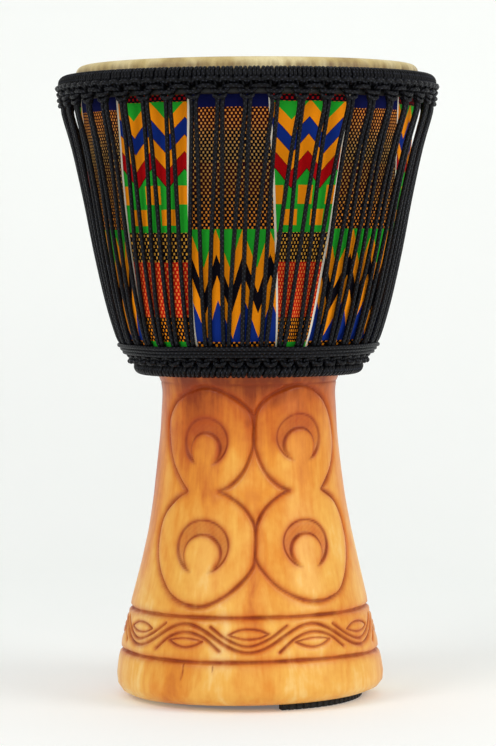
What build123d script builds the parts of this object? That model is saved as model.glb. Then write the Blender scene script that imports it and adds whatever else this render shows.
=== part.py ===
"""Rope-tuned djembe: carved goblet shell, goatskin head, two rope cradles and the lacing between them.

Millimetres, +Z up, origin at the centre of the base on the floor.
Angles run from the front (-Y) towards +X.
"""

import os
from math import cos, radians, sin

from build123d import *

# overall sizes
HEAD_R = 165.1
HEAD_Z = 610.0
SKIN = 1.2
CLOTH = 0.8
CLOTH_GAP = 0.2
CLOTH_LOW_Z = 346.5
FIT_GAP = 0.1

# rope and its rhythm round the drum
ROPE_R = 1.9
LOOP_ROPE_R = 1.6
ROPE_SIDES = 8
PITCHES = 45
PITCH_DEG = 360 / PITCHES
BASE_SHIFT_DEG = -1.7

# rings
CROWN_R = 174.8
CROWN_Z = 594.0
CROWN_WIRE_R = 4.0
FLESH_R = 171.0
FLESH_Z = 579.5
FLESH_WIRE_R = 3.0
BASE_RING_R = 104.0
BASE_RING_Z = 320.5
BASE_WIRE_R = 3.0

# rubber strip under the foot
RUBBER_IN_R = 98.0
RUBBER_OUT_R = 109.0
RUBBER_START_DEG = 16.0
RUBBER_SPAN_DEG = 246.0
RIB_COUNT = 60
RIB_W = 1.6
RIB_DEPTH = 1.4
FOOT_MEAN_Z = 4.6
FOOT_TILT_DEG = 1.4
FOOT_HIGH_SIDE_DEG = 45.0
TACK_COUNT = 9
TACK_HEAD_R = 3.2
TACK_PIN_R = 0.9
TACK_PIN_L = 16.0
TACK_HEAD_T = 1.2
TACK_SEAT_Z = 0.3

# outside of the bowl from the lower cloth edge to the rim, as (radius, height)
BOWL = [
    (114.6, 338.5),
    (120.6, 346.5),
    (126.0, 360.0),
    (133.0, 384.3),
    (144.2, 442.6),
    (154.1, 510.6),
    (160.2, 568.8),
    (161.2, 578.0),
]
# outside of the neck and foot from the lower cloth edge down
STEM = [
    (114.6, 338.5),
    (104.0, 331.0),
    (93.6, 322.5),
    (88.0, 314.0),
    (85.0, 306.0),
    (83.6, 297.0),
    (84.3, 286.0),
    (85.9, 256.0),
    (89.3, 225.0),
    (93.0, 194.0),
    (98.3, 163.0),
    (105.3, 132.0),
    (112.9, 101.0),
    (121.2, 70.0),
    (127.6, 38.6),
    (129.9, 23.0),
    (128.9, 14.0),
    (124.5, 6.0),
    (116.0, 1.0),
]
# inside of the shell from the foot up to the bearing edge
HOLLOW = [
    (97.0, 1.0),
    (103.0, 14.0),
    (102.0, 38.0),
    (92.0, 90.0),
    (78.0, 160.0),
    (69.0, 225.0),
    (64.0, 285.0),
    (67.0, 312.0),
    (84.0, 334.0),
    (104.0, 354.0),
    (118.0, 390.0),
    (130.0, 448.0),
    (140.0, 520.0),
    (146.0, 575.0),
    (149.0, 600.0),
]
BEARING_R = 6.0
BEARING_CENTRE = (157.8, 602.7)
RIM_BEVEL_W = 3.0
RIM_BEVEL_H = 0.9
# V grooves that frame the carved band round the foot, as (radius, height)
GROOVES = [(117.0, 86.0), (126.4, 46.0)]
GROOVE_DEPTH = 1.9

# how the skin leaves the collar and folds round the flesh ring
TUCK_START = 7.5
TUCK_END = 4.0
FOLD_DEG = 250

# one strand of the lacing from under the upper cradle to over the base cradle, as (radius, height)
STRAND = [
    (177.6, 570.0),
    (167.8, 530.0),
    (157.2, 481.4),
    (147.7, 432.9),
    (136.7, 384.3),
    (126.6, 350.5),
    (121.6, 342.6),
    (117.2, 338.0),
]


def on_drum(angle_deg, radius, height):
    """Point at an angle from the front of the drum."""
    turn = radians(angle_deg)
    return (radius * sin(turn), -radius * cos(turn), height)


def mirrored_loop(half_points):
    """Points (angle, radius, height) of a loop that is symmetric about its middle, angle 0."""
    other_half = [(-a, r, z) for a, r, z in reversed(half_points)]
    return [on_drum(*p) for p in other_half[:-1] + half_points]


os.makedirs("parts", exist_ok=True)

high_side = on_drum(FOOT_HIGH_SIDE_DEG, 1.0, 0.0)
tilt = radians(FOOT_TILT_DEG)
foot_plane = Plane(
    origin=(0, 0, FOOT_MEAN_Z),
    z_dir=(-sin(tilt) * high_side[0], -sin(tilt) * high_side[1], cos(tilt)),
)

# ---- shell: goblet turned from one log, open at both ends ----
with BuildPart() as shell:
    with BuildSketch(Plane.XZ):
        with BuildLine():
            Spline(*STEM)
            Line(STEM[-1], HOLLOW[0])
            Spline(*HOLLOW)
            rim_x, rim_z = BEARING_CENTRE
            rim_top = rim_z + BEARING_R
            Polyline(HOLLOW[-1], (rim_x - RIM_BEVEL_W, rim_top - RIM_BEVEL_H), (rim_x, rim_top))
            CenterArc((rim_x, rim_z), BEARING_R, 90, -90)
            Line((rim_x + BEARING_R, rim_z), BOWL[-1])
            Spline(*reversed(BOWL))
        make_face()
    revolve(axis=Axis.Z)
    for groove in GROOVES:
        with BuildSketch(Plane.XZ):
            with Locations(groove):
                RegularPolygon(radius=GROOVE_DEPTH, side_count=4)
        revolve(axis=Axis.Z, mode=Mode.SUBTRACT)
    split(bisect_by=foot_plane, keep=Keep.TOP)
shell.part.label = "shell"

# ---- goatskin: membrane over the bearing edge, down the collar and round the flesh ring ----
with BuildPart() as drumhead:
    with BuildSketch(Plane.XZ):
        with BuildLine():
            half = SKIN / 2
            centre_x, centre_z = BEARING_CENTRE
            turn_r = HEAD_R - half - centre_x
            fold_r = FLESH_WIRE_R + FIT_GAP + half
            Line((0, centre_z + turn_r), (centre_x, centre_z + turn_r))
            CenterArc((centre_x, centre_z), turn_r, 90, -90)
            Line((centre_x + turn_r, centre_z), (centre_x + turn_r, FLESH_Z + TUCK_START))
            Bezier(
                (centre_x + turn_r, FLESH_Z + TUCK_START),
                (centre_x + turn_r, FLESH_Z + TUCK_END),
                (FLESH_R - fold_r, FLESH_Z + TUCK_END),
                (FLESH_R - fold_r, FLESH_Z),
            )
            CenterArc((FLESH_R, FLESH_Z), fold_r, 180, FOLD_DEG)
        trace(line_width=SKIN)
    revolve(axis=Axis.Z)
drumhead.part.label = "drumhead"


def wire_ring(ring_r, height, wire_r, label):
    """Round steel wire bent and welded into a hoop."""
    with BuildPart() as ring:
        with Locations((0, 0, height)):
            Torus(ring_r, wire_r)
    ring.part.label = label
    return ring.part


crown_ring = wire_ring(CROWN_R, CROWN_Z, CROWN_WIRE_R, "crown_ring")
flesh_ring = wire_ring(FLESH_R, FLESH_Z, FLESH_WIRE_R, "flesh_ring")
base_ring = wire_ring(BASE_RING_R, BASE_RING_Z, BASE_WIRE_R, "base_ring")


# ---- rope: every run is swept along its own bent path ----
def rope_run(points, radius):
    with BuildPart() as run:
        with BuildLine() as path:
            Polyline(*points)
        with BuildSketch(Plane(origin=path.line @ 0, z_dir=path.line % 0)):
            RegularPolygon(radius=radius, side_count=ROPE_SIDES)
        sweep(path=path.line, transition=Transition.RIGHT)
    return run.part


def cradle(ring_r, ring_z, wire_r, hitches, loop_points, shift_deg, run_turn, label):
    """Hitches wrapped on a ring, the loops that hang from it, and an optional plain turn."""
    with BuildPart() as hitch_wrap:
        Torus(wire_r + FIT_GAP + ROPE_R, ROPE_R, rotation=(90, 0, 0))
    loop = rope_run(mirrored_loop(loop_points), LOOP_ROPE_R)
    wraps = hitches * 2
    pieces = [
        hitch_wrap.part.moved(Pos(0, 0, ring_z) * spot)
        for spot in PolarLocations(ring_r, wraps, start_angle=180 / wraps)
    ]
    pieces += [loop.moved(spot) for spot in PolarLocations(0, PITCHES, start_angle=shift_deg)]
    if run_turn:
        pieces.append(wire_ring(run_turn[0], run_turn[1], ROPE_R, "run"))
    return Compound(label=label, children=[solid for piece in pieces for solid in piece.solids()])


TOP_LOOP = [
    (0.0, 182.9, 577.2),
    (1.2, 182.8, 577.3),
    (2.25, 181.0, 578.9),
    (2.6, 178.4, 582.5),
    (2.55, 176.6, 585.4),
]
BASE_LOOP = [
    (0.0, 117.6, 330.4),
    (1.6, 117.3, 330.2),
    (3.05, 115.5, 329.0),
    (3.35, 112.7, 326.8),
    (3.3, 110.6, 325.2),
]
TOP_RUN_TURN = (182.2, 587.4)
top_cradle = cradle(
    CROWN_R, CROWN_Z, CROWN_WIRE_R, 2 * PITCHES, TOP_LOOP, 0, TOP_RUN_TURN, "top_cradle"
)
base_cradle = cradle(
    BASE_RING_R, BASE_RING_Z, BASE_WIRE_R, PITCHES, BASE_LOOP, BASE_SHIFT_DEG, None, "base_cradle"
)

# ---- lacing: rope zigzagging between the cradles, as one equal length per pitch ----
TOP_HOOK = [
    (4.0, 184.9, 582.8),
    (3.0, 184.8, 582.8),
    (2.0, 183.4, 582.6),
    (1.2, 180.6, 582.0),
    (0.8, 178.4, 580.0),
    (0.68, 177.9, 577.0),
    (0.68, 177.8, 573.5),
]
BASE_HOOK = [
    (4.0, 117.6, 324.8),
    (3.2, 117.61, 324.8),
    (2.1, 116.5, 325.0),
    (1.3, 114.3, 326.4),
    (1.05, 113.0, 329.2),
    (1.03, 113.6, 333.0),
]
STRAND_TOP_DEG = 0.68
STRAND_BASE_DEG = 1.03


def strand_points(top_deg, base_deg):
    """One strand, its angle sliding evenly with height from the upper to the base cradle."""
    drop = STRAND[0][1] - STRAND[-1][1]
    points = []
    for radius, height in STRAND:
        share = (STRAND[0][1] - height) / drop
        points.append(on_drum(top_deg + (base_deg - top_deg) * share, radius, height))
    return points


def lacing_pitch_points():
    """From the middle of one base bight, up, over the upper cradle, and down to the next bight."""
    base = BASE_SHIFT_DEG
    rise = [on_drum(base - a, r, z) for a, r, z in BASE_HOOK]
    rise += list(reversed(strand_points(STRAND_TOP_DEG, base - STRAND_BASE_DEG)))
    rise += [on_drum(a, r, z) for a, r, z in reversed(TOP_HOOK)]
    fall = [on_drum(PITCH_DEG - a, r, z) for a, r, z in TOP_HOOK[1:]]
    fall += strand_points(PITCH_DEG - STRAND_TOP_DEG, base + STRAND_BASE_DEG)
    fall += [on_drum(base + a, r, z) for a, r, z in reversed(BASE_HOOK)]
    return rise + fall


lacing_pitch = rope_run(lacing_pitch_points(), ROPE_R)
lacing = Compound(
    label="lacing",
    children=[lacing_pitch.solids()[0].moved(spot) for spot in PolarLocations(0, PITCHES)],
)

# ---- girth rope: three plain turns that pull the lacing in below the bowl ----
GIRTH_TURNS = [(125.6, 341.0), (122.0, 337.6), (119.3, 334.0)]
with BuildPart() as girth_rope:
    for turn_r, turn_z in GIRTH_TURNS:
        with Locations((0, 0, turn_z)):
            Torus(turn_r, ROPE_R)
girth_rope.part.label = "girth_rope"

# ---- printed strip cloth round the bowl, parallel to the wall it lies on ----
with BuildPart() as cloth_wrap:
    with BuildSketch(Plane.XZ):
        with BuildLine():
            cloth_in = [(r + CLOTH_GAP, z) for r, z in BOWL]
            cloth_out = [(r + CLOTH_GAP + CLOTH, z) for r, z in BOWL]
            Spline(*reversed(cloth_in))
            Line(cloth_in[-1], cloth_out[-1])
            Spline(*reversed(cloth_out))
            Line(cloth_out[0], cloth_in[0])
        make_face()
    revolve(axis=Axis.Z)
    split(bisect_by=Plane.XY.offset(CLOTH_LOW_Z), keep=Keep.TOP)
cloth_wrap.part.label = "cloth_wrap"

# ---- ribbed rubber strip nailed under the foot ----
RUBBER_MID_R = (RUBBER_IN_R + RUBBER_OUT_R) / 2
RUBBER_TURN_DEG = RUBBER_START_DEG - 90
TACK_STEP_DEG = RUBBER_SPAN_DEG / TACK_COUNT
TACK_FIRST_DEG = RUBBER_TURN_DEG + TACK_STEP_DEG / 2
with BuildPart() as rubber_foot:
    with BuildSketch(Plane.XZ.rotated((0, 0, RUBBER_TURN_DEG))):
        with Locations((RUBBER_MID_R, FOOT_MEAN_Z)):
            Rectangle(RUBBER_OUT_R - RUBBER_IN_R, FOOT_MEAN_Z * 2)
    revolve(axis=Axis.Z, revolution_arc=RUBBER_SPAN_DEG)
    split(bisect_by=foot_plane, keep=Keep.BOTTOM)
    with PolarLocations(RUBBER_OUT_R, RIB_COUNT):
        Box(RIB_DEPTH * 2, RIB_W, FOOT_MEAN_Z * 5, mode=Mode.SUBTRACT)
    for tack in range(TACK_COUNT):
        spot = Rot(0, 0, TACK_FIRST_DEG + tack * TACK_STEP_DEG) * Pos(RUBBER_MID_R, 0, 0)
        with Locations(spot):
            Cylinder(TACK_HEAD_R + FIT_GAP, TACK_HEAD_T * 2, mode=Mode.SUBTRACT)
rubber_foot.part.label = "rubber_foot"

# ---- tacks that hold the strip ----
with BuildPart() as foot_tacks:
    for tack in range(TACK_COUNT):
        spot = Rot(0, 0, TACK_FIRST_DEG + tack * TACK_STEP_DEG) * Pos(RUBBER_MID_R, 0, TACK_SEAT_Z)
        with Locations(spot):
            Cylinder(TACK_HEAD_R, TACK_HEAD_T - TACK_SEAT_Z, align=(Align.CENTER, Align.CENTER, Align.MIN))
            Cylinder(TACK_PIN_R, TACK_PIN_L, align=(Align.CENTER, Align.CENTER, Align.MIN))
foot_tacks.part.label = "foot_tacks"

for piece in (
    shell.part,
    drumhead.part,
    flesh_ring,
    crown_ring,
    top_cradle,
    lacing,
    girth_rope.part,
    base_ring,
    base_cradle,
    cloth_wrap.part,
    rubber_foot.part,
    foot_tacks.part,
):
    export_step(piece, f"parts/{piece.label}.step")
    print(piece.label, round(piece.volume), len(piece.solids()), piece.bounding_box(), flush=True)
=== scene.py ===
"""Looks of the rope-tuned djembe: carved shell, skin, cords, strip cloth, floor, light and camera.

Everything sits in the CAD's frame. The object's tables are in millimetres and make_object scales them
to metres; the floor, the lights and the camera are in metres. Angles run from the front (-Y) towards
+X, in degrees.
"""

import math

import bpy
import numpy as np
from mathutils import Matrix, Vector


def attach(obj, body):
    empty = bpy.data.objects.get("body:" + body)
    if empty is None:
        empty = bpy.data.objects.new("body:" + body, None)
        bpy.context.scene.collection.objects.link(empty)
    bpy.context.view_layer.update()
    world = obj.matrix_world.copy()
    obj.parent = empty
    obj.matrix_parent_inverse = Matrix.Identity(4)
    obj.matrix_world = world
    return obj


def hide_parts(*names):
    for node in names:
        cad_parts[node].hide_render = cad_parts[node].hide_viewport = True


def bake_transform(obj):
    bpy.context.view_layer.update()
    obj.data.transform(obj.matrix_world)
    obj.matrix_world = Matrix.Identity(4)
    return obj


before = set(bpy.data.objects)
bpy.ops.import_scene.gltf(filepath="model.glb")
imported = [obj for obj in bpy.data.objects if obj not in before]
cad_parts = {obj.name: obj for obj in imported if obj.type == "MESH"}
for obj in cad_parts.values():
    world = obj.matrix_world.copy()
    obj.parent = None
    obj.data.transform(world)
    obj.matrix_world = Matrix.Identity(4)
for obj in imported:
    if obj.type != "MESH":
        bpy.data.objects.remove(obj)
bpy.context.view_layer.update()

MM = 0.001
TINY = 1e-9
RNG = np.random.default_rng(7)

PITCHES = 45
PITCH = 360 / PITCHES
BASE_SHIFT = -1.7  # degrees from each crown loop to the base loop below it
ROPE_R = 2.08  # lacing and girth cord


# ---------------------------------------------------------------- meshes
def on_drum(angle, radius, height):
    """Points in millimetres at angles from the front, as an array of x, y, z."""
    turn = np.radians(np.asarray(angle, float))
    radius, height = np.asarray(radius, float), np.asarray(height, float)
    x, y, z = np.broadcast_arrays(radius * np.sin(turn), -radius * np.cos(turn), height)
    return np.stack([x, y, z], -1)


def link(name, data):
    """New object for a mesh, a light or a camera, linked to the scene."""
    obj = bpy.data.objects.new(name, data)
    bpy.context.collection.objects.link(obj)
    return obj


def smooth_shading(mesh):
    mesh.polygons.foreach_set("use_smooth", np.ones(len(mesh.polygons), bool))


def make_object(name, points_mm, faces, uv=None, attributes=None):
    """Smooth mesh object from points, quads, one UV pair for each face corner and point values."""
    mesh = bpy.data.meshes.new(name)
    mesh.from_pydata((np.asarray(points_mm) * MM).tolist(), [], np.asarray(faces).tolist())
    if uv is not None:
        layer = mesh.uv_layers.new(name="UVMap")
        layer.data.foreach_set("uv", np.asarray(uv, np.float32).ravel())
    for key, values in (attributes or {}).items():
        mesh.attributes.new(key, "FLOAT", "POINT").data.foreach_set(
            "value", np.asarray(values, np.float32).ravel()
        )
    smooth_shading(mesh)
    mesh.update()
    return link(name, mesh)


def cells(rows, columns):
    """Row and column number of every cell of a grid, row by row."""
    r, c = np.meshgrid(np.arange(rows), np.arange(columns), indexing="ij")
    return r.ravel(), c.ravel()


def grid_faces(rows, columns, closed):
    """Quads between rows x columns points; closed joins the last column to the first."""
    r, c = cells(rows - 1, columns if closed else columns - 1)
    n = (c + 1) % columns
    return np.stack([r * columns + c, r * columns + n, (r + 1) * columns + n, (r + 1) * columns + c], 1)


def column_angles(columns):
    """One row of evenly spaced angles round the drum, starting at the back."""
    return (np.arange(columns) * 360 / columns - 180)[None, :]


def quad_uv(u0, u1, v0, v1):
    """UVs of the four corners of each quad of grid_faces."""
    return np.stack([u0, v0, u1, v0, u1, v1, u0, v1], 1)


def lathe(name, outline, columns, attributes, displace=None):
    """Surface of revolution of an outline of (radius, height) points."""
    angle = column_angles(columns)
    radius = np.repeat(outline[:, :1], columns, 1)
    height = np.repeat(outline[:, 1:], columns, 1)
    if displace is not None:
        radius = radius + displace(angle, height)
    points = on_drum(angle, radius, height).reshape(-1, 3)
    rows = len(outline)
    r, c = cells(rows - 1, columns)
    uv = quad_uv(c / columns, (c + 1) / columns, r / rows, (r + 1) / rows)
    values = {key: value_at(height) for key, value_at in attributes.items()}
    return make_object(name, points, grid_faces(rows, columns, True), uv, values)


def smooth_path(points, steps):
    """Catmull-Rom curve through points, with steps samples for each span."""
    p = np.asarray(points, float)
    p = np.vstack([2 * p[0] - p[1], p, 2 * p[-1] - p[-2]])
    t = np.linspace(0, 1, steps, endpoint=False)[:, None]
    out = []
    for a, b, c, d in zip(p[:-3], p[1:-2], p[2:-1], p[3:]):
        square, cube = 2 * a - 5 * b + 4 * c - d, 3 * b - a - 3 * c + d
        out.append(0.5 * (2 * b + (c - a) * t + square * t**2 + cube * t**3))
    return np.vstack([*out, p[-2][None]])


def tubes(name, paths, radius, sides, closed=False):
    """Round cords along paths. U is the length in millimetres and V goes once round the cord."""
    points, faces, uvs, offset = [], [], [], 0
    around = np.arange(sides) / sides * 2 * math.pi
    nearly_along = 0.25  # sine below which a cord counts as running straight out from the drum
    for path in paths:
        path = np.asarray(path, float)
        n = len(path)
        if closed:
            step = np.roll(path, -1, 0) - np.roll(path, 1, 0)
        else:
            step = np.gradient(path, axis=0)
        step /= np.linalg.norm(step, axis=1)[:, None]
        out = path * [1, 1, 0]
        out /= np.linalg.norm(out, axis=1)[:, None] + TINY
        side = np.cross(step, out)
        weak = np.linalg.norm(side, axis=1) < nearly_along
        side[weak] = np.cross(step[weak], [0, 0, 1.0])
        side /= np.linalg.norm(side, axis=1)[:, None]
        for i in range(1, n):
            if side[i] @ side[i - 1] < 0:
                side[i] *= -1
        out = np.cross(side, step)
        ring = (
            path[:, None]
            + radius * np.cos(around)[None, :, None] * side[:, None]
            + radius * np.sin(around)[None, :, None] * out[:, None]
        )
        points.append(ring.reshape(-1, 3))
        length = np.r_[0, np.cumsum(np.linalg.norm(np.diff(path, axis=0), axis=1))]
        if closed:
            length = np.r_[length, length[-1] + np.linalg.norm(path[0] - path[-1])]
        r, c = cells(len(length) - 1, sides)
        r1, c1 = (r + 1) % n, (c + 1) % sides
        quads = np.stack([r * sides + c, r * sides + c1, r1 * sides + c1, r1 * sides + c], 1)
        faces.append(quads + offset)
        u0, u1, v0, v1 = length[r], length[r + 1], c / sides, (c + 1) / sides
        uvs.append(np.stack([u0, v0, u0, v1, u1, v1, u1, v0], 1))
        offset += n * sides
    return make_object(name, np.vstack(points), np.vstack(faces), np.vstack(uvs))


def settle(body, slot, node, *pieces):
    """Let pieces ride a body and hide the CAD node that the first of them stands in for; slot is not
    used.
    """
    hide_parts(node)
    for piece in pieces:
        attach(piece, body)


# ---------------------------------------------------------------- node materials
class Value:
    """A number inside a node tree, so that patterns read as plain arithmetic."""

    def __init__(self, tree, socket):
        self.tree, self.socket = tree, socket

    def op(self, kind, *others):
        node = self.tree.nodes.new("ShaderNodeMath")
        node.operation = kind
        for slot, value in zip(node.inputs, (self, *others)):
            if isinstance(value, Value):
                self.tree.links.new(value.socket, slot)
            else:
                slot.default_value = value
        return Value(self.tree, node.outputs[0])

    def __add__(self, other):
        return self.op("ADD", other)

    def __sub__(self, other):
        return self.op("SUBTRACT", other)

    def __mul__(self, other):
        return self.op("MULTIPLY", other)

    def __truediv__(self, other):
        return self.op("DIVIDE", other)

    def __lt__(self, other):
        return self.op("LESS_THAN", other)

    def __gt__(self, other):
        return self.op("GREATER_THAN", other)

    def __rsub__(self, other):
        return self.op("MULTIPLY", -1.0) + other

    def __abs__(self):
        return self.op("ABSOLUTE")

    def fract(self):
        return self.op("FRACT")

    def floor(self):
        return self.op("FLOOR")

    def at_most(self, limit):
        return self.op("MINIMUM", limit)

    def at_least(self, limit):
        return self.op("MAXIMUM", limit)

    def within(self, low, high):
        return (self > low) * (self < high)


def srgb(r, g, b):
    """Linear colour of an 8-bit display colour."""
    def linear(c):
        c /= 255
        return c / 12.92 if c <= 0.04045 else ((c + 0.055) / 1.055) ** 2.4
    return (linear(r), linear(g), linear(b), 1.0)


class Shader:
    """Node material built round one Principled surface."""

    def __init__(self, name, roughness, specular=0.5):
        self.material = bpy.data.materials.new(name)
        self.material.use_nodes = True
        self.tree = self.material.node_tree
        self.surface = self.tree.nodes["Principled BSDF"]
        self.surface.inputs["Roughness"].default_value = roughness
        self.surface.inputs["Specular IOR Level"].default_value = specular

    def node(self, kind, **inputs):
        node = self.tree.nodes.new("ShaderNode" + kind)
        for key, value in inputs.items():
            self.feed(node.inputs[key], value)
        return node

    def feed(self, slot, value):
        if isinstance(value, Value):
            self.tree.links.new(value.socket, slot)
        elif hasattr(value, "links"):
            self.tree.links.new(value, slot)
        else:
            slot.default_value = value

    def attribute(self, name):
        node = self.node("Attribute")
        node.attribute_name = name
        return Value(self.tree, node.outputs["Fac"])

    def uv(self):
        node = self.node("SeparateXYZ")
        self.tree.links.new(self.node("UVMap").outputs[0], node.inputs[0])
        return Value(self.tree, node.outputs[0]), Value(self.tree, node.outputs[1])

    def noise(self, scale, detail=3.0, stretch=(1, 1, 1), distortion=0.0):
        """Noise over object space, drawn out along the axes where stretch is below 1."""
        mapping = self.node("Mapping", Scale=stretch)
        self.tree.links.new(self.node("TexCoord").outputs["Object"], mapping.inputs[0])
        shape = {"Scale": scale, "Detail": detail, "Distortion": distortion}
        node = self.node("TexNoise", **shape, Vector=mapping.outputs[0])
        return Value(self.tree, node.outputs[0])

    def ramp(self, value, *stops):
        """Colour ramp from (position, colour) stops."""
        node = self.node("ValToRGB", Fac=value)
        elements = node.color_ramp.elements
        while len(elements) < len(stops):
            elements.new(0.5)
        for element, (position, colour) in zip(elements, stops):
            element.position, element.color = position, colour
        return node.outputs[0]

    def mix(self, factor, under, over):
        """Colour that goes from under to over as factor goes from 0 to 1."""
        node = self.node("Mix")
        node.data_type = "RGBA"
        factor_slot, under_slot, over_slot = (node.inputs[i] for i in (0, 6, 7))
        self.feed(factor_slot, factor)
        self.feed(under_slot, under)
        self.feed(over_slot, over)
        return node.outputs[2]

    def colour(self, socket):
        self.feed(self.surface.inputs["Base Color"], socket)

    def rough(self, value):
        self.feed(self.surface.inputs["Roughness"], value)

    def bump(self, height, strength, distance_mm):
        node = self.node("Bump", Height=height, Strength=strength, Distance=distance_mm * MM)
        self.tree.links.new(node.outputs[0], self.surface.inputs["Normal"])

    def put_on(self, *objects):
        for obj in objects:
            obj.data.materials.clear()
            obj.data.materials.append(self.material)


def rope_shader():
    """Black braided cord: crossing strands, grey sheen on their crowns and stray fibres."""
    s = Shader("rope_braid", 0.46, 0.14)
    strands_per_mm, strands_round = 0.21, 3.0
    along, around = s.uv()
    a = (along * strands_per_mm + around * strands_round).fract() - 0.5
    b = (along * strands_per_mm - around * strands_round).fract() - 0.5
    crown = (0.5 - abs(a)) * (0.5 - abs(b)) * 4.0
    fibre = s.noise(1500, 2.0)
    patch = s.noise(90, 2.0)
    tone = crown * 0.55 + fibre * 0.35 + patch * 0.25
    # the palest stop is a painted highlight on the crowns of the strands
    s.colour(s.ramp(tone, (0.3, srgb(2, 2, 4)), (0.6, srgb(12, 13, 19)), (1.02, srgb(72, 76, 90))))
    s.bump(crown + fibre * 0.3, 0.9, 0.5)
    return s


def wood_shader():
    """Varnished orange wood, redder in the gouges and at the neck, yellower towards the foot.

    The meshes carry four values: gouge is the dark floor of a cut, stain the warm wood beside it,
    rise the redness of the wood with painted shade on the neck and the front of the foot, and the
    fourth the near-black shade painted under the ropes.
    """
    s = Shader("carved_wood", 0.3, 0.22)
    gouge, rise, stain = s.attribute("gouge"), s.attribute("rise"), s.attribute("stain")
    grain = s.noise(17, 9.0, (1, 1, 0.12), 0.9)
    slant = s.noise(42, 7.0, (1, 0.6, 0.3), 1.4)
    fine = s.noise(230, 4.0, (1, 1, 0.06))
    cloud = s.noise(10.0, 5.0, (1, 1, 0.75), 0.6)
    speck = s.noise(120, 3.0)
    tone = (cloud - 0.5) * 1.5
    for layer, weight in ((grain, 1.1), (slant, 0.7), (fine, 0.35), (speck, 0.2)):
        tone = tone + (layer - 0.5) * weight
    base = s.ramp(
        tone * 0.72 + rise * 0.46 + 0.23,
        (0.0, srgb(246, 212, 138)),
        (0.25, srgb(237, 176, 80)),
        (0.5, srgb(224, 142, 50)),
        (0.75, srgb(196, 100, 32)),
        (1.0, srgb(140, 56, 16)),
    )
    warm = (stain * (slant * 1.1 + 0.35)).at_most(0.92)
    red = s.ramp(rise * 0.6 + speck * 0.4, (0.1, srgb(214, 106, 38)), (0.9, srgb(164, 62, 18)))
    rubbed = s.mix(warm, base, red)
    cut = s.mix(s.noise(85, 4.0), srgb(92, 24, 4), srgb(176, 72, 22))
    carved = s.mix((gouge * (slant * 1.1 + 0.25)).at_most(0.95), rubbed, cut)
    # painted shade: near black where the ropes shade the wood
    s.colour(s.mix(s.attribute("rope_shade"), carved, srgb(13, 11, 12)))
    s.rough(fine * 0.12 + gouge * 0.2 + slant * 0.12 + 0.22)
    s.bump(grain * 0.5 + fine * 0.5 + slant * 0.6 + s.noise(40, 3.0) * 0.9, 0.5, 0.6)
    return s


def skin_shader():
    """Shaved goatskin: cream with brown clouds, hair specks and streaks down the collar.

    The mesh carries two values: edge is the hairy collar, and the other the near-black shade painted on
    the skin behind the ropes.
    """
    s = Shader("goatskin_hide", 0.5, 0.35)
    cloud = s.noise(16, 5.0)
    streak = s.noise(60, 4.0, (1, 1, 0.12))
    speck = s.noise(900, 2.0)
    tone = cloud * 0.42 + streak * 0.35 + speck * 0.12 + 0.09
    skin = s.ramp(
        tone, (0.32, srgb(130, 100, 56)), (0.5, srgb(202, 180, 120)), (0.7, srgb(240, 228, 180))
    )
    hair = s.noise(150, 4.0, (1, 1, 0.2))
    hairy = (s.attribute("edge") * (hair * 2.4 - 0.75)).at_least(0.0).at_most(0.8)
    skin = s.mix(hairy, skin, srgb(112, 78, 42))
    # painted shade: near black on the skin behind the ropes
    s.colour(s.mix(s.attribute("rope_shade"), skin, srgb(12, 11, 11)))
    s.bump(streak + speck * 0.4, 0.5, 0.4)
    return s


def plain_shader(name, dark, light, scale, roughness, metallic=0.0):
    """Two-tone surface with fine relief, for the small parts."""
    s = Shader(name, roughness)
    grit = s.noise(scale, 4.0)
    s.surface.inputs["Metallic"].default_value = metallic
    s.colour(s.ramp(grit, (0.3, dark), (0.7, light)))
    s.bump(grit, 0.4, 0.2)
    return s


GREEN = srgb(34, 168, 44)
ORANGE = srgb(252, 148, 12)
BLUE = srgb(12, 44, 128)
CRIMSON = srgb(176, 6, 12)
NAVY = srgb(10, 18, 70)
BLACK = srgb(8, 8, 18)
CREAM = srgb(238, 230, 212)
OUTLINE = srgb(70, 10, 14)
STRAW = srgb(232, 168, 60)
SCARLET = srgb(196, 26, 10)
APRICOT = srgb(250, 138, 60)
MAROON = srgb(44, 6, 14)
GRIME = srgb(30, 14, 14)

# bands that follow a zigzag: start, end and colour, in mm below the cloth's upper edge
CHEVRONS = ((2.8, 18.4, ORANGE), (18.4, 34.0, BLUE), (34.0, 49.6, ORANGE), (49.6, 65.2, CRIMSON))
FLAMES = ((121.0, 144.0, ORANGE), (144.0, 163.5, BLACK), (163.5, 186.5, ORANGE), (186.5, 400.0, BLUE))
# level bands of dashes on the chevron strips: start, end, ground and dash
DASHES = (
    (-10.0, 4.0, BLACK, CRIMSON),
    (124.0, 151.5, BLACK, STRAW),
    (151.5, 203.0, SCARLET, APRICOT),
    (203.0, 226.0, BLACK, ORANGE),
)
FLAME_START, FLAME_END, NAVY_END = 121.0, 225.5, 9.6


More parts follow.
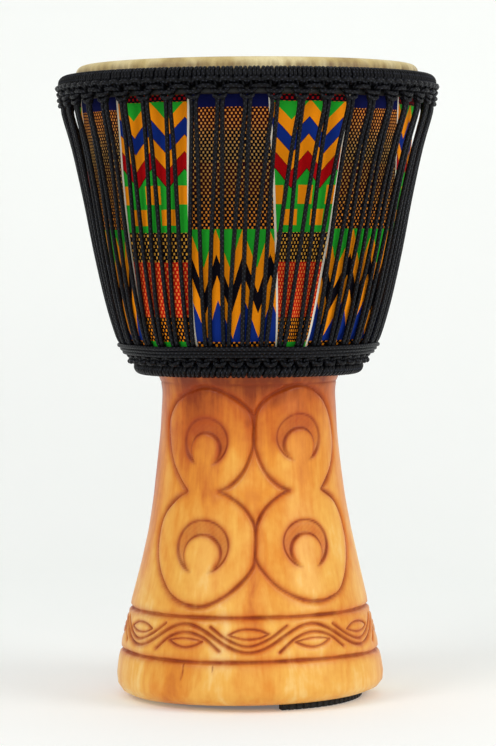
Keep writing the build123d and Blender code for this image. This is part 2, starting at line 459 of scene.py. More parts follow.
def cloth_shader():
    """Printed strip cloth. U counts strips round the bowl, V is millimetres below the upper edge."""
    s = Shader("strip_cloth_print", 0.85, 0.06)
    u, drop = s.uv()
    wobble = s.noise(55, 2.0) * 1.6 - 0.8
    drop = drop + wobble
    local = u.fract()
    is_chevron = (u * 0.5).fract() < 0.5

    def zigzag(periods, start):
        """0 at the peaks and 1 at the valleys of a zigzag across the strip."""
        phase = (local * periods - start).fract()
        return (abs(phase - 0.5) * -2.0) + 1.0

    def dashes(across, row_mm, duty):
        """Staggered dashes across the strip."""
        row = (drop / row_mm).floor()
        shift = (row * 0.5).fract()
        cell = (local * across + shift).fract()
        return (cell < duty) * ((drop / row_mm).fract() < 0.66)

    # chevron strips
    fold = zigzag(2.15, 0.05)
    depth = drop - fold * 18.4
    chevron = GREEN
    for low, high, tint in CHEVRONS:
        chevron = s.mix(depth.within(low, high), chevron, tint)
        chevron = s.mix(depth.within(high - 0.6, high + 0.6), chevron, OUTLINE)
    peak_column = fold < 0.5
    chevron = s.mix(drop.within(80.8, 98.2) * peak_column, chevron, ORANGE)
    chevron = s.mix(drop.within(102.8, 117.5) * (1.0 - peak_column), chevron, ORANGE)
    fine = dashes(16.0, 3.4, 0.42)
    for low, high, ground, dash in DASHES:
        chevron = s.mix(drop.within(low, high), chevron, s.mix(fine, ground, dash))

    # flame strips
    dash_tint = s.ramp(
        drop / 120.0,
        (0.1, srgb(236, 146, 58)),
        (0.4, srgb(190, 146, 80)),
        (0.68, srgb(184, 132, 58)),
        (0.98, srgb(238, 140, 40)),
    )
    weave = s.mix((drop / 60.0).fract() < 0.5, BLACK, MAROON)
    flame = s.mix(dashes(20.0, 2.9, 0.42), weave, dash_tint)
    flame = s.mix(drop < NAVY_END, flame, NAVY)
    tongue = drop - zigzag(3.25, 0.02) * 35.8
    below = GREEN
    for low, high, tint in FLAMES:
        below = s.mix(tongue.within(low, high), below, tint)
    flame = s.mix(drop > FLAME_START, flame, below)
    flame = s.mix(drop > FLAME_END, flame, s.mix(dashes(16.0, 3.0, 0.4), BLACK, ORANGE))

    printed = s.mix(is_chevron, chevron, flame)
    seam = abs(local - 0.5) > 0.4845
    printed = s.mix(seam, printed, CREAM)
    thread = s.noise(700, 2.0)
    fade = s.noise(25, 3.0)
    s.colour(s.mix((thread * 0.5 + fade * 0.4) * 0.2, printed, GRIME))
    s.bump(thread, 0.35, 0.25)
    return s


# ---------------------------------------------------------------- shell
STEM_COLUMNS = 600
STEM_LOW, STEM_HIGH = 2.5, 331
STEM_OUTLINE = np.array([  # radius and height
    (113, 2.5), (117, 3.6), (124.6, 7.5), (128.9, 14), (129.9, 23), (127.6, 38.6), (121.2, 70),
    (112.9, 101), (105.3, 132), (98.3, 163), (93, 194), (89.3, 225), (85.9, 256), (84.3, 286),
    (83.6, 297), (85, 306), (88, 314), (93.6, 322.5), (104, 331),
])
# outline of the carved panel: (angle, height) curves, four round the lobes and four round the diamond
LOBE_OUTLINES = [
    [
        (-41.0, 204.3), (-55.0, 228.0), (-62.5, 250.0), (-64.5, 271.0), (-56.0, 289.0), (-39.0, 301.0),
        (-29.5, 303.5), (-19.0, 300.5), (-6.0, 290.0), (2.0, 278.0), (3.5, 266.0),
    ],
    [
        (3.5, 266.0), (5.2, 281.0), (12.0, 293.5), (23.5, 302.0), (35.5, 305.5), (49.0, 300.0),
        (60.5, 289.5), (69.5, 269.0), (70.0, 246.0), (60.5, 222.0), (49.5, 205.0),
    ],
    [
        (-41.0, 204.3), (-50.5, 195.5), (-58.5, 182.5), (-61.5, 166.5), (-60.0, 147.0), (-54.0, 127.0),
        (-44.5, 109.0), (-34.5, 100.0), (-24.0, 98.0), (-13.5, 107.0), (-4.0, 121.5), (1.7, 135.0),
        (2.9, 144.0),
    ],
    [
        (2.9, 144.0), (6.0, 133.5), (14.5, 116.5), (25.5, 105.0), (35.0, 101.5), (43.5, 103.5),
        (53.5, 111.0), (63.0, 131.0), (68.5, 155.0), (67.0, 178.0), (60.5, 195.0), (49.5, 205.0),
    ],
    [(3.5, 266.0), (2.8, 256.0), (2.3, 246.0), (-3.3, 225.0), (-11.0, 211.5), (-18.8, 205.3)],
    [(3.5, 266.0), (3.6, 256.0), (4.0, 246.0), (9.5, 225.0), (17.5, 211.5), (25.1, 205.3)],
    [(-18.8, 205.3), (-12.5, 201.0), (-3.3, 190.0), (2.6, 175.0), (3.4, 160.0), (2.9, 144.0)],
    [(25.1, 205.3), (18.5, 201.0), (9.8, 190.0), (4.4, 175.0), (3.4, 160.0), (2.9, 144.0)],
]
# each horseshoe: angle, then height and half axes of its outer and inner ovals
HORSESHOES = [
    (-29.0, 251.5, 23.6, 23.2, 244.3, 15.0, 14.9),
    (34.6, 255.2, 25.6, 22.9, 248.2, 16.8, 15.2),
    (-27.0, 153.0, 27.6, 25.6, 146.0, 18.9, 17.6),
    (33.3, 155.2, 25.6, 23.2, 148.6, 17.0, 15.6),
]
# the vine's wave, and for each of its troughs and crests a second stem and the edges of a leaf:
# (angle, height) curve, width and depth
VINE_PERIODS, VINE_MID, VINE_SWING, VINE_TURN = 6, 69.5, 12.4, 0.8
TROUGH_LINES = (
    ([(-17.5, 80.0), (-9.0, 68.5), (0.0, 62.8), (9.5, 69.5), (18.0, 81.0)], 4.0, 1.9),
    ([(-9.0, 73.2), (-4.5, 77.4), (0.0, 78.6), (5.0, 77.4), (9.2, 74.0)], 3.2, 1.5),
    ([(-9.0, 73.2), (-4.0, 70.2), (0.0, 69.4), (5.0, 70.4), (9.2, 74.0)], 2.8, 1.3),
)
CREST_LINES = (
    ([(-16.0, 57.0), (-8.5, 69.0), (0.0, 74.4), (9.0, 70.4), (17.0, 58.5)], 4.0, 1.9),
    ([(-8.5, 66.0), (-4.0, 62.0), (0.5, 60.6), (5.0, 62.4), (9.0, 66.6)], 3.4, 1.6),
    ([(-8.5, 66.0), (-3.5, 68.2), (1.0, 68.8), (5.5, 68.2), (9.0, 66.6)], 2.4, 0.9),
)
CRACKS = ([(-30.4, 48.0), (-29.8, 40.0), (-30.6, 32.5)], [(-16.2, 44.5), (-16.0, 38.5)])
# the foot's underside: mean height, tilt, and the angle at which it stands highest
FOOT_MEAN, FOOT_TILT, FOOT_HIGH = 4.6, math.radians(1.4), 45.0
FOOT_EDGE = 3.4
# outside of the bowl from the neck up, over the rim, then the inside of the shell down to the foot
BOWL = [
    (92.5, 322.0), (103.0, 331.0), (114.6, 338.5), (120.6, 346.5), (126.0, 360.0), (133.0, 384.3),
    (144.2, 442.6), (154.1, 510.6), (160.2, 568.8), (161.2, 578.0), (163.7, 600.0), (163.6, 604.0),
    (161.9, 607.2), (157.8, 608.7), (154.8, 607.8), (149.0, 600.0), (146.0, 575.0), (140.0, 520.0),
    (130.0, 448.0), (118.0, 390.0), (104.0, 354.0), (84.0, 334.0), (67.0, 312.0), (64.0, 285.0),
    (69.0, 225.0), (78.0, 160.0), (92.0, 90.0), (102.0, 38.0), (103.0, 14.0), (97.0, 4.5),
]


def from_middle(angle, middle):
    """Degrees from middle to angle, between -180 and 180."""
    return (angle - middle + 180) % 360 - 180


def stem_radius(height):
    return np.interp(height, STEM_OUTLINE[:, 1], STEM_OUTLINE[:, 0])


def smooth_stem(height):
    """Stem radius with the corners of the outline rounded, apart from the foot's edge."""
    total = 0
    weights = ((-9, 0.06), (-6, 0.12), (-3, 0.2), (0, 0.24), (3, 0.2), (6, 0.12), (9, 0.06))
    for shift, weight in weights:
        total = total + weight * stem_radius(np.clip(height + shift, STEM_LOW, STEM_HIGH))
    blend = np.clip((height - 14) / 16, 0, 1)
    return total * blend + stem_radius(height) * (1 - blend)


class Carving:
    """Hand-cut lines sampled on a grid of angles and heights: their depth, gouge tint and stain."""

    REACH = 14.0  # millimetres above and below a curve that its cut can touch
    MARGIN = 12  # degrees to either side of a curve that its cut can touch

    def __init__(self, angle, height):
        self.angle, self.height = angle, height
        self.arc = math.pi / 180 * smooth_stem(height)
        self.depth = np.zeros(np.broadcast(angle, height).shape)
        self.tint = np.zeros_like(self.depth)
        self.stain = np.zeros_like(self.depth)

    def distance(self, curve):
        """Millimetres over the surface to the nearest point of an (angle, height) polyline."""
        far = 1e9
        best = np.full(self.depth.shape, far)
        row_heights = self.height[:, 0]
        for (a0, z0), (a1, z1) in zip(curve[:-1], curve[1:]):
            low, high = min(z0, z1) - self.REACH, max(z0, z1) + self.REACH
            rows = np.where((row_heights > low) & (row_heights < high))[0]
            if not len(rows):
                continue
            middle = (a0 + a1) / 2
            local = from_middle(self.angle, middle) + middle
            columns = np.where(np.abs(local[0] - middle) < abs(a1 - a0) / 2 + self.MARGIN)[0]
            box = np.ix_(rows, columns)
            arc = self.arc[box]
            dx, dz = (a1 - a0) * arc, z1 - z0
            px, pz = (local[:, columns] - a0) * arc, self.height[box] - z0
            t = np.clip((px * dx + pz * dz) / (dx * dx + dz * dz + TINY), 0, 1)
            best[box] = np.minimum(best[box], np.hypot(px - t * dx, pz - t * dz))
        return best

    def line(self, curve, width=5.0, depth=2.8, steps=8, stain=0.8):
        """V gouge along a curve: a dark floor, softened shoulders and a warm stain beside it."""
        reach = self.distance(smooth_path(curve, steps))
        slow, quick = self.angle * 0.21 + self.height * 0.07, self.angle * 0.6
        hand = 0.96 + 0.13 * np.sin(slow) + 0.05 * np.sin(quick)
        cut = np.clip(1 - reach / (width * 0.5 * hand), 0, 1)
        shoulder = np.clip(1 - reach / (width * 1.9), 0, 1) ** 2
        self.depth = np.maximum(self.depth, cut**0.8 * depth * hand + shoulder * depth * 0.42)
        self.tint = np.maximum(self.tint, np.clip(cut * 1.7 - 0.22, 0, 1) * np.clip(hand, 0, 1))
        self.stain = np.maximum(self.stain, stain * np.exp(-((reach / (width * 0.85)) ** 2)))

    def horseshoe(self, middle, outer_z, outer_a, outer_b, inner_z, inner_a, inner_b):
        """Crescent hollow between two ovals, open at the bottom, deepest along its inner wall."""
        across = from_middle(self.angle, middle) * self.arc
        outer = np.hypot(across / outer_a, (self.height - outer_z) / outer_b)
        inner = np.hypot(across / inner_a, (self.height - inner_z) / inner_b)
        from_down = np.degrees(np.arctan2(np.abs(across), outer_z - self.height))
        horn = np.clip((from_down - 17.0) / 24.0, 0, 1)
        from_wall = (1 - outer) * outer_a
        from_core = (inner - 1) * inner_a
        ramp = np.clip(np.minimum(from_wall / 1.2, from_core / 1.4), 0, 1)
        fill = ramp * (outer < 1) * (inner > 1) * horn
        floor = 1.2 + 1.9 * np.clip(1 - from_core / 9.0, 0, 1)
        self.depth = np.maximum(self.depth, fill * floor)
        wall = np.exp(-(((from_wall - 0.7) / 1.15) ** 2))
        core = np.exp(-(((from_core - 1.0) / 1.4) ** 2)) * np.clip((from_down - 30.0) / 45.0, 0, 1)
        streak = 0.5 + 0.5 * np.sin(across * 1.1 - self.height * 1.3)
        edge = np.maximum(wall * 1.15, core * 1.3)
        self.tint = np.maximum(self.tint, horn * np.maximum(edge, fill * (0.05 + 0.13 * streak)))
        near = np.exp(-((np.minimum(np.abs(from_wall), np.abs(from_core)) / 3.0) ** 2))
        self.stain = np.maximum(self.stain, horn * np.maximum(near * 0.72, fill * 0.66))


def turned(curve, turn):
    return [(a + turn, z) for a, z in curve]


def carve(angle, height):
    """Every carved line of the stem: two four-lobed panels, the foot's grooves and its vine."""
    cut = Carving(angle, height)
    for turn in (0, 180):
        for curve in LOBE_OUTLINES:
            cut.line(turned(curve, turn))
        for middle, *ovals in HORSESHOES:
            cut.horseshoe(middle + turn, *ovals)
    ring = np.linspace(-180, 180, 73)
    wave = np.radians(ring)
    for groove in (87.5 + 1.4 * np.sin(wave + 1.0), 46.0 + 2.2 * np.cos(wave) + 0.8 * np.sin(3 * wave)):
        cut.line(np.stack([ring, groove], 1), 5.4, 2.6, 2)
    along = np.linspace(-180, 180, 109)
    vine = VINE_MID - VINE_SWING * np.cos(np.radians((along + VINE_TURN) * VINE_PERIODS))
    cut.line(np.stack([along, vine], 1), 4.6, 2.2, 2)
    period = 360 / VINE_PERIODS
    for k in range(VINE_PERIODS):
        trough = k * period - VINE_TURN
        for middle, lines in ((trough, TROUGH_LINES), (trough + period / 2, CREST_LINES)):
            for curve, width, depth in lines:
                cut.line(turned(curve, middle), width, depth)
    for crack in CRACKS:
        cut.line(crack, 1.8, 0.7, stain=0.25)
    lip = 305.5 + 0.5 * np.sin(2 * wave)
    cut.line(np.stack([ring, lip], 1), 1.8, 0.6, 2, 0.2)
    return cut


def foot_height(angle, radius):
    """Height of the foot's slightly tilted underside."""
    return FOOT_MEAN + radius * math.tan(FOOT_TILT) * np.cos(np.radians(angle - FOOT_HIGH))


def build_stem():
    angle = column_angles(STEM_COLUMNS)
    edge_rows, neck_rows = (FOOT_EDGE, 5.0, 7.5, 10.5, 14.0, 18.5), (314.0, 320.0, 326.0)
    foot_rows, band_rows = np.linspace(23.0, 38.0, 6), np.linspace(41.0, 93.0, 53)
    panel_rows = np.linspace(94.6, 309.0, 130)
    heights = np.r_[edge_rows, foot_rows, band_rows, panel_rows, neck_rows]
    height = np.repeat(heights[:, None], STEM_COLUMNS, 1)
    cut = carve(angle, height)
    wander = 0.35 * np.sin(np.radians(angle * 3 + 40)) * np.sin(height / 37)
    wander = wander + 0.3 * np.sin(np.radians(angle * 5) + height / 23)
    radius = smooth_stem(height) + wander - cut.depth
    # the lowest rows lean with the underside
    share = np.clip((30.0 - height) / 26.6, 0, 1)
    level = height + share * (foot_height(angle, 112.0) - FOOT_EDGE)
    under_r = np.array([97.0, 103.0, 109.0])[:, None]
    under = on_drum(angle, under_r, foot_height(angle, under_r))
    points = np.vstack([under.reshape(-1, 3), on_drum(angle, radius, level).reshape(-1, 3)])

    # wood: paler to the right and towards the foot, with painted shade that darkens and reddens the
    # neck below the ropes and darkens the front of the foot
    front, right = np.cos(np.radians(angle)), np.sin(np.radians(angle))
    paler_right = np.clip(right * 0.75 + 0.08, -0.25, 0.75) * np.clip(1.2 - height / 290, 0, 1)
    paler_right = paler_right + 0.25 * np.clip(right, 0, 1)
    # painted shade: the neck darker and redder below the ropes, most at the front and back
    neck = np.clip((height - 235) / 75, 0, 1) ** 1.5
    neck = neck * (0.2 + 0.8 * np.cos(np.radians(angle + 8)) ** 2)
    # painted shade: the front of the foot darker
    front_foot_shade = 0.2 * np.clip((50 - height) / 12, 0, 1) * np.clip(front, 0, 1) ** 2
    shades = {
        "gouge": cut.tint,
        "rise": np.clip(0.1 + (height - 20) / 330 - paler_right * 0.8 + neck * 0.75 + front_foot_shade, 0, 2),
        "stain": cut.stain,
        # painted shade: near black at the top of the stem under the base hitches
        "rope_shade": np.clip((height - 314.5) / 5, 0, 1),
    }
    blank = np.zeros((len(under_r), STEM_COLUMNS))
    values = {key: np.vstack([blank, shade]) for key, shade in shades.items()}
    faces = grid_faces(len(under_r) + len(heights), STEM_COLUMNS, True)
    return make_object("shell_stem", points, faces, attributes=values)


def build_bowl():
    attributes = {
        "gouge": lambda z: np.full(z.shape, 0.25),
        "rise": lambda z: np.full(z.shape, 0.8),
        # painted shade: near black on the neck under the ropes
        "rope_shade": lambda z: np.clip((352 - z) / 6, 0, 1) * (z > 320),
    }
    return lathe("shell_bowl", smooth_path(BOWL, 4), 144, attributes)


# ---------------------------------------------------------------- skin
def arc_points(middle_r, middle_z, reach, turns):
    """(radius, height) points on a circle, at turns in degrees from outward."""
    return [(middle_r + reach * math.cos(t), middle_z + reach * math.sin(t)) for t in np.radians(turns)]


def build_skin():
    """Skin from its fold round the flesh ring up the collar, over the rim and across the head."""
    fold = arc_points(171.0, 579.5, 4.3, np.linspace(60, -180, 22))
    collar = [(165.3, 584.5), (165.1, 588.0), (165.1, 592.0), (165.1, 596.0), (165.1, 599.0)]
    rim = arc_points(157.8, 602.7, 7.3, np.linspace(0, 90, 9))
    head = [(r, 610.0) for r in (150, 135, 120, 100, 80, 60, 40, 20, 6, 0.01)]
    phases = RNG.uniform(0, 6.28, 12)

    def wrinkle(angle, height):
        """Fine pleats down the collar."""
        fade = np.clip((606.0 - height) / 8.0, 0, 1) * (height > 585)
        total = 0
        for k, phase in enumerate(phases):
            total = total + np.sin(np.radians(angle) * (23 + 13 * k) + phase) / (1 + 0.15 * k)
        return 0.1 * total * fade

    attributes = {
        # painted shade: near black on the collar below the crown ring
        "rope_shade": lambda z: np.clip((597.5 - z) / 4.0, 0, 1),
        "edge": lambda z: np.clip((608.5 - z) / 6.0, 0, 1),
    }
    outline = np.array(fold + collar + rim + head)
    return lathe("drumhead_skin", outline, 540, attributes, wrinkle)


# ---------------------------------------------------------------- cloth
STRIPS = 14
# angles of the seams seen from the front, at two heights
SEAM_TOP_Z, SEAM_BASE_Z = 571.0, 355.0
SEAM_TOP = [-77.0, -48.2, -19.4, 7.3, 35.6, 61.3]
SEAM_BASE = [-75.0, -50.5, -23.4, 12.2, 26.6, 72.0]
CLOTH_LOW, CLOTH_HIGH, PRINT_TOP = 342.5, 579.0, 573.5
CLOTH_OUTLINE = np.array([
    (117.8, 342.5), (121.6, 346.5), (127.0, 360.0), (134.0, 384.3), (145.2, 442.6), (155.1, 510.6),
    (161.2, 568.8), (162.3, 579.0),
])


def full_seams(front):
    """The seams seen from the front, with the hidden strips spaced evenly round the back."""
    gap = (front[0] + 360 - front[-1]) / (STRIPS - len(front) + 1)
    rest = [front[-1] + gap * k for k in range(1, STRIPS - len(front) + 2)]
    return np.array([*front, *rest])


def build_cloth():
    per_strip, rows = 28, 96
    columns = STRIPS * per_strip
    share = np.arange(columns) / per_strip
    heights = np.linspace(CLOTH_LOW, CLOTH_HIGH, rows)
    height = heights[:, None]
    radius = np.interp(heights, CLOTH_OUTLINE[:, 1], CLOTH_OUTLINE[:, 0])
    reach = 3  # rows averaged to either side
    padded = np.r_[[radius[0]] * reach, radius, [radius[-1]] * reach]
    radius = np.convolve(padded, np.ones(2 * reach + 1) / (2 * reach + 1), "valid")
    blend = np.clip((SEAM_TOP_Z - height) / (SEAM_TOP_Z - SEAM_BASE_Z), -0.1, 1.06)
    top, base = (np.interp(share, np.arange(STRIPS + 1), full_seams(s)) for s in (SEAM_TOP, SEAM_BASE))
    angle = top[None] * (1 - blend) + base[None] * blend
    local = share % 1.0
    ridge = 0.5 * np.exp(-((np.minimum(local, 1 - local) / 0.03) ** 2))
    ruck = 0.35 * np.sin(np.radians(angle) * 45 + 1.0) * np.clip((420 - height) / 80, 0, 1)
    slack = 0.3 * np.sin(np.radians(angle) * 9 + height / 21.0)
    lift = 0.35
    points = on_drum(angle, radius[:, None] + lift + ridge[None] + ruck + slack, height)
    r, c = cells(rows - 1, columns)
    inset = 1e-4  # keeps each face's U inside its own strip
    u0, u1 = c / per_strip + inset, (c + 1) / per_strip - inset
    uv = quad_uv(u0, u1, PRINT_TOP - heights[r], PRINT_TOP - heights[r + 1])
    return make_object("cloth_sleeve", points.reshape(-1, 3), grid_faces(rows, columns, True), uv)


# ---------------------------------------------------------------- ropes
# rings: radius and height of the hoop
CROWN = (174.8, 592.8)
BASE_RING = (104.0, 320.5)
# a lacing strand from its crown loop down to the girth rope: radius and height
STRAND = np.array([
    (177.4, 564.0), (167.8, 530.0), (157.2, 481.4), (147.9, 432.9), (137.0, 384.3), (127.0, 350.5),
    (121.8, 342.6), (117.2, 338.0),
])
STRAND_TOP, STRAND_BASE = 0.72, 1.02  # degrees from a strand to the middle of its loops
# ends of a strand and one half of each kind of loop: angle, radius and height
TOP_HOOK = [
    (4.0, 182.4, 582.6), (3.0, 182.3, 582.5), (2.1, 181.2, 582.0), (1.55, 179.2, 580.8),
    (1.25, 177.7, 578.2), (1.0, 177.4, 573.0),
]
BASE_HOOK = [
    (4.0, 115.6, 325.6), (3.0, 115.5, 325.9), (2.0, 114.6, 327.0), (1.3, 113.2, 329.6),
    (1.05, 113.4, 333.5),
]
HITCH_BAR = [(-1.95, 178.6, 585.6), (-1.75, 181.4, 587.2), (-1.1, 183.0, 588.4), (0.0, 183.4, 588.8)]
LEG_RADII, LEG_HEIGHTS = (180.8, 179.6, 177.8, 177.0), (587.0, 584.0, 581.0, 578.4)
TOP_LOOP = [
    (-2.5, 177.0, 585.4), (-2.55, 178.0, 582.5), (-2.2, 180.4, 578.9), (-1.3, 181.8, 577.4),
    (0.0, 182.0, 577.2),
]
TOP_COLLAR = [(-1.7, 177.4, 577.0), (-1.6, 180.0, 574.0), (-1.1, 180.8, 572.4), (0.0, 181.0, 571.8)]
BASE_LOOP = [
    (-3.0, 110.0, 324.6), (-3.05, 111.9, 327.0), (-2.7, 114.6, 330.0), (-1.5, 116.4, 331.6),
    (0.0, 116.7, 331.8),
]
GIRTH_TURNS = ((125.4, 341.2), (122.6, 337.9), (120.4, 334.6))


def placed(points, turn):
    """(angle, radius, height) points, moved round the drum by turn."""
    return [on_drum(turn + a, r, z) for a, r, z in points]


def mirrored(points):
    return [(-a, r, z) for a, r, z in points]


def whole(half):
    """Loop from its left half, which ends in the middle."""
    return half + mirrored(half[-2::-1])


def strand_points(top, base):
    radius, height = STRAND[:, 0], STRAND[:, 1]
    share = (height[0] - height) / (height[0] - height[-1])
    return list(on_drum(top + (base - top) * share, radius, height))


def lacing_paths():
    """45 lengths of one zigzag cord; each starts and ends in the middle of a base bight."""
    paths = []
    for k in range(PITCHES):
        turn = k * PITCH
        base = turn + BASE_SHIFT
        left, right, _ = STRAND_TOP + RNG.normal(0, 0.12, 3)
        rise = placed(mirrored(BASE_HOOK), base)
        rise += strand_points(turn + left, base - STRAND_BASE)[::-1]
        rise += placed(TOP_HOOK[::-1], turn)
        fall = placed(mirrored(TOP_HOOK[1:]), turn + PITCH)
        fall += strand_points(turn + PITCH - right, base + STRAND_BASE)
        fall += placed(BASE_HOOK[::-1], base)
        paths.append(smooth_path(np.array(rise + fall), 4))
    return paths


def hitch_wraps(ring, count, width_deg, lean_deg, reach):
    """Turns of cord round a ring, three to a hitch, at reach from the middle of its wire."""
    paths = []
    per_hitch = 3
    turns = np.radians(np.linspace(0, 360, 25)[:-1])
    for k in range(count):
        middle = (k + 0.5) * 360 / count
        for j in range(per_hitch):
            offset = (j - (per_hitch - 1) / 2) * width_deg
            angle = middle + offset + RNG.normal(0, 0.05) + lean_deg * np.sin(turns)
            radius, height = ring[0] + reach * np.cos(turns), ring[1] + reach * np.sin(turns)
            paths.append(on_drum(angle, radius, height))
    return paths


def hitch_middles():
    """Angles of the two hitches of every pitch on the crown ring."""
    return [(k + 0.5) * PITCH / 2 for k in range(2 * PITCHES)]


def top_bars():
    """Short bar across the front of every hitch on the crown ring."""
    paths = []
    for middle in hitch_middles():
        lift = RNG.normal(0, 0.2)
        paths.append(smooth_path([on_drum(middle + a, r, z + lift) for a, r, z in whole(HITCH_BAR)], 4))
    return paths


def top_legs():
    """Legs that drop from the hitches into the dark behind the loops."""
    paths = []
    for middle in hitch_middles():
        for side in (-1, 1):
            start = middle + side * 0.7 + RNG.normal(0, 0.08)
            towards = round(middle / PITCH) * PITCH
            end = start + (towards - start) * 0.12
            leg = zip((start, start, end, end), LEG_RADII, LEG_HEIGHTS)
            paths.append(smooth_path(placed(leg, 0), 3))
    return paths


def hanging_loops(half, shift):
    """The 45 loops that the lacing hooks into."""
    return [smooth_path(placed(whole(half), k * PITCH + shift), 4) for k in range(PITCHES)]


def ring_turn(radius, height):
    """Plain turn of cord round the drum, slightly uneven."""
    angle = np.linspace(-180, 180, 361)[:-1]
    lift = 0.25 * np.sin(np.radians(angle * 5 + radius)) + 0.125 * np.sin(np.radians(angle * 11))
    return on_drum(angle, radius, height + lift)


def build_ropes(shader):
    lacing = tubes("lacing_cord", lacing_paths(), ROPE_R, 10)
    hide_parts("lacing")
    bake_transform(lacing)
    crown = [
        tubes("crown_hitches", hitch_wraps(CROWN, 2 * PITCHES, 1.2, 0.1, 5.9), 2.0, 8, closed=True),
        tubes("crown_hitch_bars", top_bars(), 2.3, 8),
        tubes("crown_hitch_legs", top_legs(), 1.5, 6),
        tubes("crown_loops", hanging_loops(TOP_LOOP, 0), 2.0, 8),
        tubes("crown_loop_collars", hanging_loops(TOP_COLLAR, 0), 1.9, 8),
    ]
    settle("head_rings", "black_rope", "top_cradle", *crown)
    base = [
        tubes("base_hitches", hitch_wraps(BASE_RING, PITCHES, 2.4, 1.3, 5.0), 2.5, 8, closed=True),
        tubes("base_loops", hanging_loops(BASE_LOOP, BASE_SHIFT), 1.9, 8),
    ]
    settle("drum", "black_rope", "base_cradle", *base)
    turns = [ring_turn(radius, height) for radius, height in GIRTH_TURNS]
    girth = tubes("girth_turns", turns, ROPE_R, 10, closed=True)
    settle("drum", "black_rope", "girth_rope", girth)
    shader.put_on(lacing, *crown, *base, girth)


# ---------------------------------------------------------------- rubber
def build_rubber():
    """Ribbed strip under part of the foot, level below and tilted above."""
    start, span, columns = 16.0, 246.0, 492
    inner, outer = 98.0, 109.0
    angle = start + np.linspace(0, span, columns)
    rib = np.where(np.arange(columns) % 8 < 5, 0.0, -1.5)
    top = foot_height(angle, 103.5) - 0.05
    rows = (
        (inner, top), (outer + rib, top), (109.4 + rib, top * 0.5), (outer + rib, 0.4),
        (107.6 + rib, 0.0), (inner, 0.0), (inner, top),
    )
    points = np.vstack([on_drum(angle, radius, height) for radius, height in rows])
    faces = grid_faces(len(rows), columns, False).tolist()
    for end in (0, columns - 1):
        faces.append([row * columns + end for row in range(len(rows) - 1)])
    mesh = bpy.data.meshes.new("rubber_strip")
    mesh.from_pydata((points * MM).tolist(), [], faces)
    mesh.validate()
    return link("rubber_strip", mesh)


# ---------------------------------------------------------------- floor, light and camera
FLOOR_HALF, FLOOR_FRONT = 4.0, -3.0
WALL_Y, WALL_TOP, WALL_BEND = 1.6, 3.2, 0.6
SKY_LIGHT, SKY_SEEN = 0.46, 0.92  # the camera sees a near-white sky, brighter than the light it gives
# name, place, size, watts and the point it is aimed at
LAMPS = (
    ("key_left", (-1.5, -1.5, 1.5), 1.1, 19, (0, 0, 0.32)),
    ("key_right", (1.8, -1.0, 1.1), 1.1, 19, (0, 0, 0.32)),
    ("front_soft", (0.1, -2.6, 1.2), 1.2, 8, (0, 0, 0.32)),
    ("backdrop_wash", (0.0, 0.4, 2.6), 2.2, 5, (0, 1.4, 0.6)),
)
CAMERA_PLACE, CAMERA_DIP, CAMERA_ROLL = (-0.0006, -2.816, 0.4445), 2.67, -0.3


def paper_shader():
    """Near-white paper that lets the view through from behind or below."""
    s = Shader("backdrop_paper", 0.9, 0.1)
    s.colour(s.ramp(s.noise(3.0), (0.0, (0.84, 0.86, 0.84, 1)), (1.0, (0.88, 0.9, 0.88, 1))))
    s.surface.inputs["Emission Color"].default_value = (1, 1, 0.99, 1)
    s.surface.inputs["Emission Strength"].default_value = 0.14
    facing, clear, blend = (s.node(kind) for kind in ("NewGeometry", "BsdfTransparent", "MixShader"))
    output = next(node for node in s.tree.nodes if node.type == "OUTPUT_MATERIAL")
    s.feed(blend.inputs[0], facing.outputs["Backfacing"])
    s.feed(blend.inputs[1], s.surface.outputs[0])
    s.feed(blend.inputs[2], clear.outputs[0])
    s.feed(output.inputs["Surface"], blend.outputs[0])
    return s


def build_backdrop():
    """Floor that bends up into a wall behind the drum."""
    profile = [(FLOOR_FRONT, 0.0), (WALL_Y - WALL_BEND, 0.0)]
    for t in np.linspace(0, math.pi / 2, 12)[1:]:
        y, z = WALL_Y - WALL_BEND + WALL_BEND * math.sin(t), WALL_BEND - WALL_BEND * math.cos(t)
        profile.append((y, z))
    profile.append((WALL_Y, WALL_TOP))
    points = [(side * FLOOR_HALF, y, z) for y, z in profile for side in (-1, 1)]
    faces = [(2 * i, 2 * i + 1, 2 * i + 3, 2 * i + 2) for i in range(len(profile) - 1)]
    mesh = bpy.data.meshes.new("backdrop")
    mesh.from_pydata(points, [], faces)
    smooth_shading(mesh)
    backdrop = link("backdrop", mesh)
    paper_shader().put_on(backdrop)


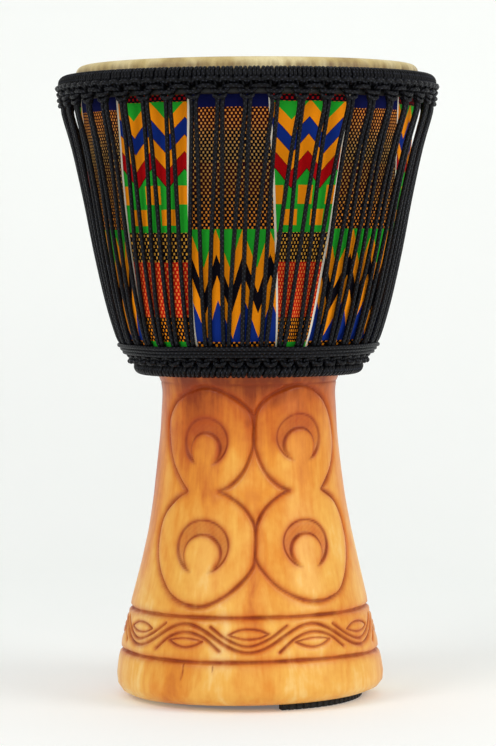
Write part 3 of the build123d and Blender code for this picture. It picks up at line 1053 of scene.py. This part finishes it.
def build_light():
    world = bpy.data.worlds.new("studio")
    world.use_nodes = True
    tree = world.node_tree
    sky = tree.nodes["Background"]
    sky.inputs[0].default_value = (1.0, 1.0, 1.0, 1)
    path, strength = (tree.nodes.new("ShaderNode" + kind) for kind in ("LightPath", "MapRange"))
    strength.inputs["To Min"].default_value = SKY_LIGHT
    strength.inputs["To Max"].default_value = SKY_SEEN
    tree.links.new(path.outputs["Is Camera Ray"], strength.inputs["Value"])
    tree.links.new(strength.outputs["Result"], sky.inputs[1])
    bpy.context.scene.world = world
    for name, place, size, watts, aim in LAMPS:
        data = bpy.data.lights.new(name, "AREA")
        data.shape, data.size, data.energy = "SQUARE", size, watts
        lamp = link(name, data)
        lamp.location = place
        lamp.rotation_euler = (Vector(aim) - Vector(place)).to_track_quat("-Z", "Y").to_euler()


def build_camera():
    data = bpy.data.cameras.new("camera")
    data.lens, data.sensor_width, data.clip_end = 140.0, 36.0, 20.0
    camera = link("camera", data)
    camera.location = CAMERA_PLACE
    pitch, roll = math.radians(90 - CAMERA_DIP), math.radians(CAMERA_ROLL)
    turn = Matrix.Rotation(pitch, 4, "X") @ Matrix.Rotation(roll, 4, "Z")
    camera.rotation_euler = turn.to_euler()
    bpy.context.scene.camera = camera


# ---------------------------------------------------------------- build
stem, bowl = build_stem(), build_bowl()
wood_shader().put_on(stem, bowl)
settle("drum", "wood", "shell", stem, bowl)

skin = build_skin()
skin_shader().put_on(skin)
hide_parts("drumhead")
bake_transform(skin)

cloth = build_cloth()
cloth_shader().put_on(cloth)
settle("drum", "strip_cloth", "cloth_wrap", cloth)

build_ropes(rope_shader())

rubber = build_rubber()
plain_shader("ribbed_rubber", srgb(14, 14, 15), srgb(40, 40, 42), 260, 0.75).put_on(rubber)
settle("drum", "tyre_rubber", "rubber_foot", rubber)

painted = plain_shader("ring_black_paint", srgb(14, 14, 16), srgb(34, 34, 38), 320, 0.45, 0.2)
painted.put_on(*(bpy.data.objects[node] for node in ("crown_ring", "flesh_ring", "base_ring")))
steel = plain_shader("tack_bare_steel", srgb(96, 92, 86), srgb(150, 148, 142), 420, 0.4, 0.9)
steel.put_on(bpy.data.objects["foot_tacks"])

build_backdrop()
build_light()
build_camera()
bpy.context.scene.view_settings.view_transform = "Standard"
